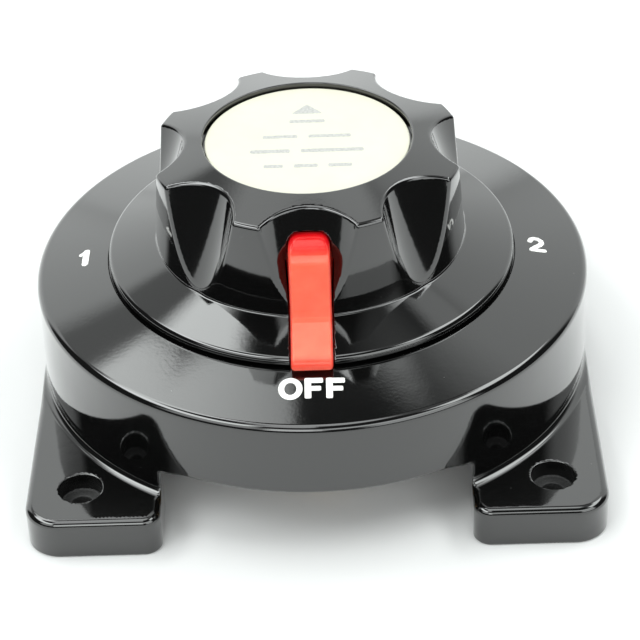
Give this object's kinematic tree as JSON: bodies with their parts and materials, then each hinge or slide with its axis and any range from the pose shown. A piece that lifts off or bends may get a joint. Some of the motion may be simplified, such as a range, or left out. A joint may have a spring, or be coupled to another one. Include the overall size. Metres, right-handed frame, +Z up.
{
  "type": "battery selector switch",
  "caption": "Surface-mounted marine battery selector switch: round glossy black case on square-cornered flanges, fluted rotary knob with a red pointer, studs and nuts in the cable space below.",
  "frame": {"origin": "centre of the underside of the two mounting flanges, on the plane that the switch is screwed down to", "axes": "+Z up along the knob's axis, away from the mounting surface; -Y towards the front, where the pointer stands at OFF; +X towards position 2"},
  "size_m": [0.134, 0.134, 0.07],
  "materials": {
    "case_phenolic": "glossy moulded black phenolic",
    "knob_phenolic": "glossy moulded black phenolic",
    "pointer_red": "glossy moulded red plastic",
    "label_ivory": "satin ivory film",
    "laminate": "dark paper-phenolic laminate",
    "brass": "bright machined brass",
    "copper": "machined copper",
    "plated_steel": "zinc plated",
    "spring_steel": "drawn spring steel",
    "rubber": "matt black rubber"
  },
  "bodies": {
    "housing": {"case": "case_phenolic", "flange_left": "case_phenolic", "flange_right": "case_phenolic", "terminal_board": "laminate", "board_gasket": "rubber", "board_screw_1": "plated_steel", "board_screw_2": "plated_steel", "board_screw_3": "plated_steel", "board_screw_4": "plated_steel", "terminal_stud_1": "copper", "terminal_stud_2": "copper", "terminal_stud_common": "copper", "clamp_nut_1": "brass", "clamp_nut_2": "brass", "clamp_nut_common": "brass", "flat_washer_1": "plated_steel", "flat_washer_2": "plated_steel", "flat_washer_common": "plated_steel", "lock_washer_1": "spring_steel", "lock_washer_2": "spring_steel", "lock_washer_common": "spring_steel", "terminal_nut_1": "brass", "terminal_nut_2": "brass", "terminal_nut_common": "brass", "contact_plate_1": "copper", "contact_plate_2": "copper", "contact_plate_common": "copper", "shaft_bushing": "brass", "shaft_oring": "rubber", "detent_spring": "spring_steel"},
    "selector": {"knob": "knob_phenolic", "pointer_insert": "pointer_red", "label_disc": "label_ivory", "knob_screw": "plated_steel", "knob_washer": "plated_steel", "shaft": "brass", "retaining_clip": "spring_steel", "rotor": "laminate", "moving_contact": "copper", "contact_spring_outer": "spring_steel", "contact_spring_inner": "spring_steel"},
    "detent": {"detent_ball": "plated_steel"}
  },
  "joints": [
    {"name": "knob_turn", "type": "hinge", "parent": "housing", "child": "selector", "pos_m": [0, 0, 0.05], "axis": [0, 0, 1], "continuous": true},
    {"name": "detent_slide", "type": "slide", "parent": "housing", "child": "detent", "axis": [0, 0, 1], "range_m": [0, 0.0012], "stiffness_N_per_m": 300, "springref_m": 0.012, "deforming": ["detent_spring"]}
  ]
}
